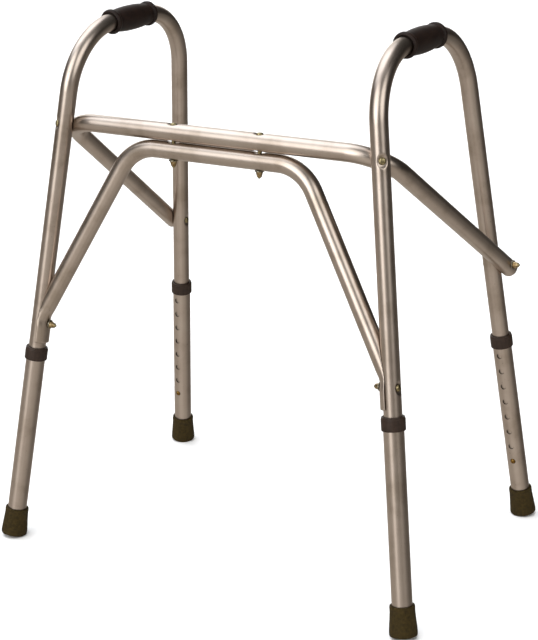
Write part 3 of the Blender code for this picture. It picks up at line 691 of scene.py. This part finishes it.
def handgrip(side):
    """A moulded sleeve along the top run: a barrel between two round beads, with a bore for the tube.

    The radius is barrel - (barrel - neck) x |share|^2.2, and over the end beads a half round on the neck.
    """
    front, rear = legs["front", side], legs["rear", side]
    corner = on_side(ARCH_CORNER, side)
    ends = [front.at(LEG_TUBE_END), corner * (1, -1, 1), corner, rear.at(LEG_TUBE_END)]
    line = bent_line(ends, ARCH_BEND)
    middle = nearest_distance(line, corner * (1, 0, 1))
    half, bead_half, neck, bead, barrel = 50.0, 3.9, 15.3, 18.4, 18.4
    inner = half - 2 * bead_half
    turn = np.linspace(0, np.pi, 15)[1:-1]
    bead_place = half - bead_half - bead_half * np.cos(turn)
    bead_radius = neck - 0.6 + (bead - neck + 0.6) * np.sin(turn) ** 0.8
    body_place = np.linspace(-inner + 0.4, inner - 0.4, 61)
    body_radius = barrel - (barrel - neck) * np.abs(body_place / inner) ** 2.2
    lip_place = np.array([half + 0.05, half - 0.1, half - 2.5])
    lip_radius = np.array([15.4, 14.2, TUBE_R + 0.25])
    bore_place = np.linspace(lip_place[-1], -lip_place[-1], 9)[1:]
    bore_radius = np.full(len(bore_place), lip_radius[-1])
    place = np.r_[-lip_place[::-1], -bead_place[::-1], body_place, bead_place, lip_place, bore_place]
    radius = np.r_[lip_radius[::-1], bead_radius[::-1], body_radius, bead_radius, lip_radius, bore_radius]
    points, ahead = line(middle + place)
    normal = unit(np.cross(ends[2] - ends[1], (front.foot + rear.foot) / 2 - ends[1]))
    grid = tube_grid(points, ahead, normal, radius)
    run = np.r_[0, np.cumsum(np.linalg.norm(np.diff(grid[:, 0], axis=0), axis=1))]
    name = f"moulded_grip_{SIDES[side]}"
    mesh = grid_mesh(name, grid, 2 * np.pi * neck, run, "joined")
    return make_piece(name, mesh, vinyl, "frame", f"handgrip_{SIDES[side]}")


def sleeve_rows():
    """Heights up the sleeve and turns round it whose crossings leave a square window about each hole."""
    window = 6.6
    holes = HOLE_FIRST + HOLE_PITCH * np.arange(HOLE_COUNT)
    rows = [np.linspace(hole - window, hole + window, 13) for hole in holes]
    rows.append(np.linspace(SLEEVE_END, HOLE_FIRST - window, 8)[:-1])
    rows.append(np.linspace(holes[-1] + window, COLLAR_TOP - 3.3, 4)[1:])
    return np.unique(np.round(np.concatenate(rows), 6)), holes, window


def leg_sleeve(leg):
    """The outer tube of a leg, with its row of round holes.

    The wall is a grid of turns and heights. Round each hole a square window of the grid is pulled onto the
    circle: a point at a share k from the window's edge lies at (1-k) x square + k x circle.
    """
    heights, holes, window = sleeve_rows()
    columns_in_window = 12
    half_turn = window / SLEEVE_R
    near = np.linspace(-half_turn, half_turn, columns_in_window + 1)
    far = np.linspace(half_turn, 2 * np.pi - half_turn, 61)[1:-1]
    turns = np.r_[near, far]
    columns = len(turns)
    flat = np.stack(np.meshgrid(turns * SLEEVE_R, heights, indexing="xy"), -1).reshape(-1, 2)
    rows = len(heights)
    i, j = np.meshgrid(np.arange(rows - 1), np.arange(columns), indexing="ij")
    after = (j + 1) % columns
    on = i + 1
    quads = np.stack([i * columns + j, i * columns + after, on * columns + after, on * columns + j], -1)
    middle_height = (heights[:-1] + heights[1:]) / 2
    in_window = np.abs(middle_height[:, None] - holes[None]).min(1) < window
    keep = ~(in_window[:, None] & (np.arange(columns)[None] < columns_in_window))
    quads = quads[keep]
    side = np.linspace(-1, 1, columns_in_window + 1)[:-1]
    one = np.ones(columns_in_window)
    square = np.concatenate([
        np.stack([side, -one], -1),
        np.stack([one, side], -1),
        np.stack([-side, one], -1),
        np.stack([-one, -side], -1),
    ]) * window
    circle = unit(square) * HOLE_R
    share = np.array([0.45, 0.8, 0.95, 1.0])
    rings = square + share[:, None, None] * (circle - square)
    patch = rings[None] + np.stack([np.zeros(HOLE_COUNT), holes], -1)[:, None, None]
    row_of = {round(height, 6): number for number, height in enumerate(heights)}
    around = len(square)
    faces = [quads]
    extra = patch.reshape(-1, 2)
    for number, hole in enumerate(holes):
        low = row_of[round(hole - window, 6)]
        step = np.arange(columns_in_window)
        edge = np.concatenate([
            low * columns + step,
            (low + step) * columns + columns_in_window,
            (low + columns_in_window) * columns + columns_in_window - step,
            (low + columns_in_window - step) * columns,
        ])
        start = len(flat) + number * len(share) * around
        loops = np.concatenate([edge[None], start + np.arange(len(share) * around).reshape(-1, around)])
        ahead = np.roll(loops, -1, axis=1)
        faces.append(np.stack([loops[:-1], ahead[:-1], ahead[1:], loops[1:]], -1).reshape(-1, 4))
    faces = np.concatenate(faces)
    flat = np.concatenate([flat, extra])
    angle = flat[:, 0] / SLEEVE_R
    edge_round = np.clip(np.minimum(flat[:, 1] - SLEEVE_END, 4) / 0.6, 0, 1)
    radius = SLEEVE_R - 0.4 * (1 - edge_round)
    spokes = np.cos(angle)[:, None] * leg.out + np.sin(angle)[:, None] * leg.across
    points = leg.foot + flat[:, 1, None] * leg.up + radius[:, None] * spokes
    first, second, third = (points[faces[:, k]] for k in (0, 1, 3))
    on_axis = leg.foot + ((first - leg.foot) @ leg.up)[:, None] * leg.up
    facing = np.einsum("ij,ij->i", np.cross(second - first, third - first), first - on_axis)
    faces = np.where((facing < 0)[:, None], faces[:, ::-1], faces)
    uv = flat[faces]
    wrapped = (uv[..., 0].max(1) - uv[..., 0].min(1)) > np.pi * SLEEVE_R
    uv[..., 0] += np.where(wrapped[:, None] & (uv[..., 0] < np.pi * SLEEVE_R / 2), 2 * np.pi * SLEEVE_R, 0)
    name = f"sleeve_{leg.name}"
    mesh = bpy.data.meshes.new(name)
    mesh.from_pydata((points * MM).tolist(), [], faces.tolist())
    layer = mesh.uv_layers.new(name="surface")
    layer.data.foreach_set("uv", (uv * MM).astype(np.float32).ravel())
    mesh.shade_smooth()
    body = f"extension_{leg.name}"
    piece = make_piece(name, mesh, aluminium, body, f"leg_extension_{leg.name}", WALL)
    # The inner wall and the hole rims take the dark lining: painted shade where the inside of the tube lies
    # in shadow
    mesh.materials.append(painted_shade_lining)
    piece.modifiers["wall"].material_offset = 1
    piece.modifiers["wall"].material_offset_rim = 1
    edge = piece.modifiers.new("hole edges", "BEVEL")
    edge.width = 0.25 * MM
    edge.segments = 2
    edge.limit_method = "ANGLE"
    edge.angle_limit = math.radians(50)
    edge.harden_normals = True
    return piece


def collar(leg):
    """A moulded bush over the sleeve's top: a turned profile with a stepped, rounded lip."""
    low, high = COLLAR_TOP - COLLAR_HEIGHT, COLLAR_TOP
    lip = high - 3.0
    corners = [
        (SLEEVE_R + 0.25, lip),
        (SLEEVE_R + 0.25, low),
        (COLLAR_R - 0.1, low),
        (COLLAR_R, high - 3.4),
        (COLLAR_R - 0.5, high - 2.9),
        (COLLAR_R - 0.7, high),
        (TUBE_R + 0.4, high),
        (TUBE_R + 0.4, lip),
        (SLEEVE_R + 0.25, lip),
    ]
    profile = rounded_profile(corners, [0.3, 0.9, 0.5, 0.4, 1.3, 0.6, 0.2])
    grid = turned_grid(profile, leg.foot, leg.up)
    run = np.r_[0, np.cumsum(np.linalg.norm(np.diff(profile, axis=0), axis=1))]
    name = f"guide_collar_{leg.name}"
    mesh = grid_mesh(name, grid, 2 * np.pi * COLLAR_R, run, "joined")
    return make_piece(
        name, mesh, polypropylene, f"extension_{leg.name}", f"collar_{leg.name}"
    )


def tip(leg):
    """A rubber ferrule: a turned cup that flares to its foot, with a rounded lip and foot ring.

    Whatever would be below the floor is pressed up to it.
    """
    bore = SLEEVE_R + 0.25
    corners = [
        (POLE_R, TIP_FLOOR),
        (bore, TIP_FLOOR),
        (bore, TIP_TOP - 0.9),
        (bore + 0.8, TIP_TOP),
        (17.4, TIP_TOP - 0.1),
        (17.7, TIP_TOP - 2.6),
        (17.5, TIP_TOP - 8.0),
        (18.2, TIP_TOP - 19.0),
        (19.3, TIP_BOTTOM + 11.0),
        (TIP_FOOT_R, TIP_BOTTOM + 3.5),
        (TIP_FOOT_R - 0.3, TIP_BOTTOM + 0.2),
        (TIP_FOOT_R - 3.5, TIP_BOTTOM),
        (TIP_FOOT_R - 4.4, TIP_BOTTOM + 1.0),
        (11.5, TIP_BOTTOM + 1.0),
        (10.8, TIP_BOTTOM),
        (7.4, TIP_BOTTOM),
        (6.8, TIP_BOTTOM + 1.0),
        (POLE_R, TIP_BOTTOM + 1.0),
    ]
    radii = [0.3, 0.4, 0.5, 1.6, 2.5, 6.0, 9.0, 9.0, 5.0, 1.8, 0.8, 0.4, 0.4, 0.4, 0.4, 0.4]
    profile = rounded_profile(corners, radii)
    grid = turned_grid(profile, leg.foot, leg.up)
    grid[..., 2] = np.maximum(grid[..., 2], 0.0)
    run = np.r_[0, np.cumsum(np.linalg.norm(np.diff(profile, axis=0), axis=1))]
    name = f"ferrule_{leg.name}"
    mesh = grid_mesh(name, grid, 2 * np.pi * TIP_FOOT_R, run, "capped")
    return make_piece(name, mesh, rubber, f"extension_{leg.name}", f"rubber_tip_{leg.name}")


def turned_piece(name, corners, radii, origin, axis, finish, body, replaced, around=40):
    """A small turned piece: a solid capped at both ends, or a ring where its profile returns to its start."""
    profile = rounded_profile(corners, radii, 5)
    grid = turned_grid(profile, origin, axis, around)
    run = np.r_[0, np.cumsum(np.linalg.norm(np.diff(profile, axis=0), axis=1))]
    mesh = grid_mesh(name, grid, 2 * np.pi * 5, run, "joined" if corners[0] == corners[-1] else "capped")
    return make_piece(name, mesh, finish, body, replaced)


def fastener(bolt):
    """A pan-headed bolt with its washer and nose nut."""
    length = (bolt.tip - bolt.seat) @ bolt.axis
    head = [
        (POLE_R, -2.9),
        (2.8, -2.75),
        (4.6, -1.8),
        (5.1, -0.4),
        (5.0, 0),
        (3.0, 0),
        (3.0, length - 2.4),
        (1.3, length - 0.2),
        (POLE_R, length),
    ]
    turned_piece(
        f"pan_bolt_{bolt.name}",
        head,
        [1.5, 1.5, 0.5, 0.15, 0.1, 0.8, 0.9],
        bolt.seat,
        bolt.axis,
        yellow_zinc,
        "frame",
        f"bolt_{bolt.name}",
    )
    washer_low = (node_points(f"washer_{bolt.name}") - bolt.seat) @ bolt.axis
    low, high = washer_low.min(), washer_low.max()
    washer = [(3.3, low), (6.9, low), (7.0, high), (3.3, high), (3.3, low)]
    turned_piece(
        f"flat_washer_{bolt.name}",
        washer,
        [0.3, 0.4, 0.2],
        bolt.seat,
        bolt.axis,
        zinc,
        "frame",
        f"washer_{bolt.name}",
    )
    nut_span = (node_points(f"nut_{bolt.name}") - bolt.seat) @ bolt.axis
    low, high = nut_span.min(), nut_span.max()
    nut = [
        (3.3, low),
        (5.2, low),
        (5.0, low + 1.4),
        (4.2, low + 4.0),
        (3.5, high),
        (3.3, high),
        (3.3, low),
    ]
    turned_piece(
        f"nose_nut_{bolt.name}",
        nut,
        [0.3, 0.8, 1.2, 0.7, 0.2],
        bolt.seat,
        bolt.axis,
        bronzed_zinc,
        "frame",
        f"nut_{bolt.name}",
    )


def snap_button(leg):
    """A brass button with a domed end, through the leg and its sleeve."""
    corners = [
        (POLE_R, BUTTON_BACK),
        (5.2, BUTTON_BACK),
        (5.2, BUTTON_BACK + 1.0),
        (4.0, BUTTON_BACK + 1.0),
        (4.0, BUTTON_TOP - 1.4),
        (2.2, BUTTON_TOP - 0.15),
        (POLE_R, BUTTON_TOP),
    ]
    turned_piece(
        f"dome_button_{leg.name}",
        corners,
        [0.3, 0.3, 0.2, 1.6, 1.2],
        leg.at(HOLE_FIRST),
        leg.out,
        brass,
        f"button_{leg.name}",
        f"snap_button_{leg.name}",
    )


def button_clip(leg):
    """The folded spring strip inside a leg: one arm behind the button, one on the far wall, joined by a fold.

    Its line is (near, h) up the near arm, (3 cos a - 0.6, 36 + 3 sin a) over the fold and (-far, h) down the
    far arm, and its width is 8 across that.
    """
    turn = np.linspace(0, np.pi, 17)
    fold = np.stack([3.0 * np.cos(turn) - 0.6, 36.0 + 3.0 * np.sin(turn)], -1)
    near_arm = [(CLIP_NEAR, -7.0), (CLIP_NEAR, 7.0)]
    far_arm = [(-CLIP_FAR, 7.0), (-CLIP_FAR, -7.0)]
    line = np.concatenate([near_arm, fold, far_arm])
    line = rounded_profile(line, [4.0] * (len(line) - 2), 4)
    width = np.linspace(-4, 4, 5)
    centre = leg.at(HOLE_FIRST)
    up_line = centre + line[:, :1] * leg.out + line[:, 1:] * leg.up
    grid = up_line[:, None] + width[None, :, None] * leg.across
    rows, columns = grid.shape[:2]
    i, j = np.meshgrid(np.arange(rows - 1), np.arange(columns - 1), indexing="ij")
    corner = i * columns + j
    quads = np.stack([corner, corner + columns, corner + columns + 1, corner + 1], -1).reshape(-1, 4)
    mesh = bpy.data.meshes.new(f"spring_clip_{leg.name}")
    mesh.from_pydata((grid.reshape(-1, 3) * MM).tolist(), [], quads.tolist())
    mesh.shade_smooth()
    node = f"button_clip_{leg.name}"
    piece = make_piece(mesh.name, mesh, blued, "frame", node, 0.8)
    piece.modifiers["wall"].offset = 0
    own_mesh(piece)


for side in SIDES:
    side_frame(side)
    handgrip(side)
upper_bar()
lower_bar()
for leg in legs.values():
    leg_sleeve(leg)
    collar(leg)
    tip(leg)
    snap_button(leg)
    frame["nodes"][f"tip_washer_{leg.name}"].data.materials[0] = zinc
    button_clip(leg)
for bolt in bolts.values():
    fastener(bolt)


# ---------------------------------------------------------------- floor, light and camera


def floor():
    """A wide pale floor."""
    mesh = bpy.data.meshes.new("studio_floor")
    half = 30.0
    corners = [(-half, -half, 0), (half, -half, 0), (half, half, 0), (-half, half, 0)]
    mesh.from_pydata(corners, [], [(0, 1, 2, 3)])
    made = bpy.data.materials.new("white studio floor")
    made.use_nodes = True
    shader = made.node_tree.nodes["Principled BSDF"]
    shader.inputs["Base Color"].default_value = (0.93, 0.93, 0.93, 1)
    shader.inputs["Roughness"].default_value = 0.9
    mesh.materials.append(made)
    sheet = bpy.data.objects.new("studio_floor", mesh)
    bpy.context.scene.collection.objects.link(sheet)
    sheet.visible_glossy = False


def heading(turn, height):
    """The direction at a turn from +X towards +Y and a height over the horizon, both in degrees."""
    turn, height = math.radians(turn), math.radians(height)
    return math.cos(height) * math.cos(turn), math.cos(height) * math.sin(turn), math.sin(height)


def studio_world():
    """A pale room with soft white boards in front, low in front and behind, and a black flag on its right."""
    world = bpy.data.worlds.new("studio")
    bpy.context.scene.world = world
    world.use_nodes = True
    tree = world.node_tree
    tree.nodes.clear()
    direction = add_node(tree, "ShaderNodeTexCoord").outputs["Generated"]
    height = add_node(tree, "ShaderNodeSeparateXYZ", Vector=direction).outputs["Z"]
    share = add_node(tree, "ShaderNodeMapRange", Value=height, From_Min=-1.0, From_Max=1.0).outputs[0]
    shades = [
        (0.40, (0.55, 0.505, 0.45, 1)),
        (0.5, (0.10, 0.09, 0.08, 1)),
        (0.93, grey(0.15)),
        (1.0, grey(0.7)),
    ]
    room = add_node(tree, RAMP, stops=shades, Fac=share).outputs[0]
    boards = [
        (heading(-104, 30), (1.0, 1.0, 1.0), 36, 2.4),
        (heading(-20, 28), (1.0, 0.99, 0.96), 30, 2.0),
        (heading(166, 58), (0.96, 1.0, 1.06), 38, 2.4),
        (heading(130, 8), (1.0, 0.97, 0.92), 32, 1.3),
        (heading(-99, 9), (1.0, 0.99, 0.97), 24, 1.3),
        (heading(-80, -22), (1.0, 0.97, 0.93), 42, 0.18),
    ]
    flagged = add_node(
        tree, "ShaderNodeVectorMath", {"operation": "DOT_PRODUCT"}, i0=direction, i1=heading(48, 5)
    ).outputs["Value"]
    open_share = add_node(
        tree, "ShaderNodeMapRange", Value=flagged, From_Min=0.35, From_Max=0.9, To_Min=1.0, To_Max=0.33
    ).outputs[0]
    scale = {"operation": "SCALE"}
    total = add_node(tree, "ShaderNodeVectorMath", scale, i0=room, Scale=open_share).outputs[0]
    for towards, colour, spread, strength in boards:
        facing = add_node(
            tree, "ShaderNodeVectorMath", {"operation": "DOT_PRODUCT"}, i0=direction, i1=towards
        ).outputs["Value"]
        amount = add_node(
            tree,
            "ShaderNodeMapRange",
            {"interpolation_type": "SMOOTHSTEP"},
            Value=facing,
            From_Min=math.cos(math.radians(spread)),
            From_Max=math.cos(math.radians(spread * 0.45)),
        ).outputs[0]
        tint = [c * strength for c in colour]
        glow = add_node(tree, "ShaderNodeVectorMath", scale, i0=tint, Scale=amount).outputs[0]
        total = add_node(tree, "ShaderNodeVectorMath", {"operation": "ADD"}, i0=total, i1=glow).outputs[0]
    back = add_node(tree, "ShaderNodeBackground", Color=total, Strength=1.0)
    add_node(tree, "ShaderNodeOutputWorld", Surface=back.outputs[0])


def overhead_light():
    """A wide overhead light for the floor and the dull pieces: it makes no highlight of its own."""
    lamp = bpy.data.lights.new("overhead", "SUN")
    lamp.energy = 1.3
    lamp.angle = math.radians(60)
    holder = bpy.data.objects.new("overhead", lamp)
    bpy.context.scene.collection.objects.link(holder)
    holder.visible_glossy = False


def camera():
    """A long lens from the front right, looking down a little."""
    azimuth, elevation, roll = (math.radians(a) for a in (30.92, 18.33, -0.84))
    right = np.array([math.cos(azimuth), math.sin(azimuth), 0])
    back = np.array([
        math.sin(azimuth) * math.cos(elevation),
        -math.cos(azimuth) * math.cos(elevation),
        math.sin(elevation),
    ])
    up = np.cross(back, right)
    rolled_right = math.cos(roll) * right + math.sin(roll) * up
    rolled_up = -math.sin(roll) * right + math.cos(roll) * up
    lens = bpy.data.cameras.new("camera")
    lens.lens = 97.66
    lens.sensor_width = 36
    holder = bpy.data.objects.new("camera", lens)
    bpy.context.scene.collection.objects.link(holder)
    turned = Matrix(np.column_stack([rolled_right, rolled_up, back]).tolist()).to_4x4()
    holder.matrix_world = Matrix.Translation((1.2629, -2.1181, 1.1514)) @ turned
    bpy.context.scene.camera = holder


floor()
studio_world()
overhead_light()
camera()
bpy.context.scene.view_settings.view_transform = "Standard"
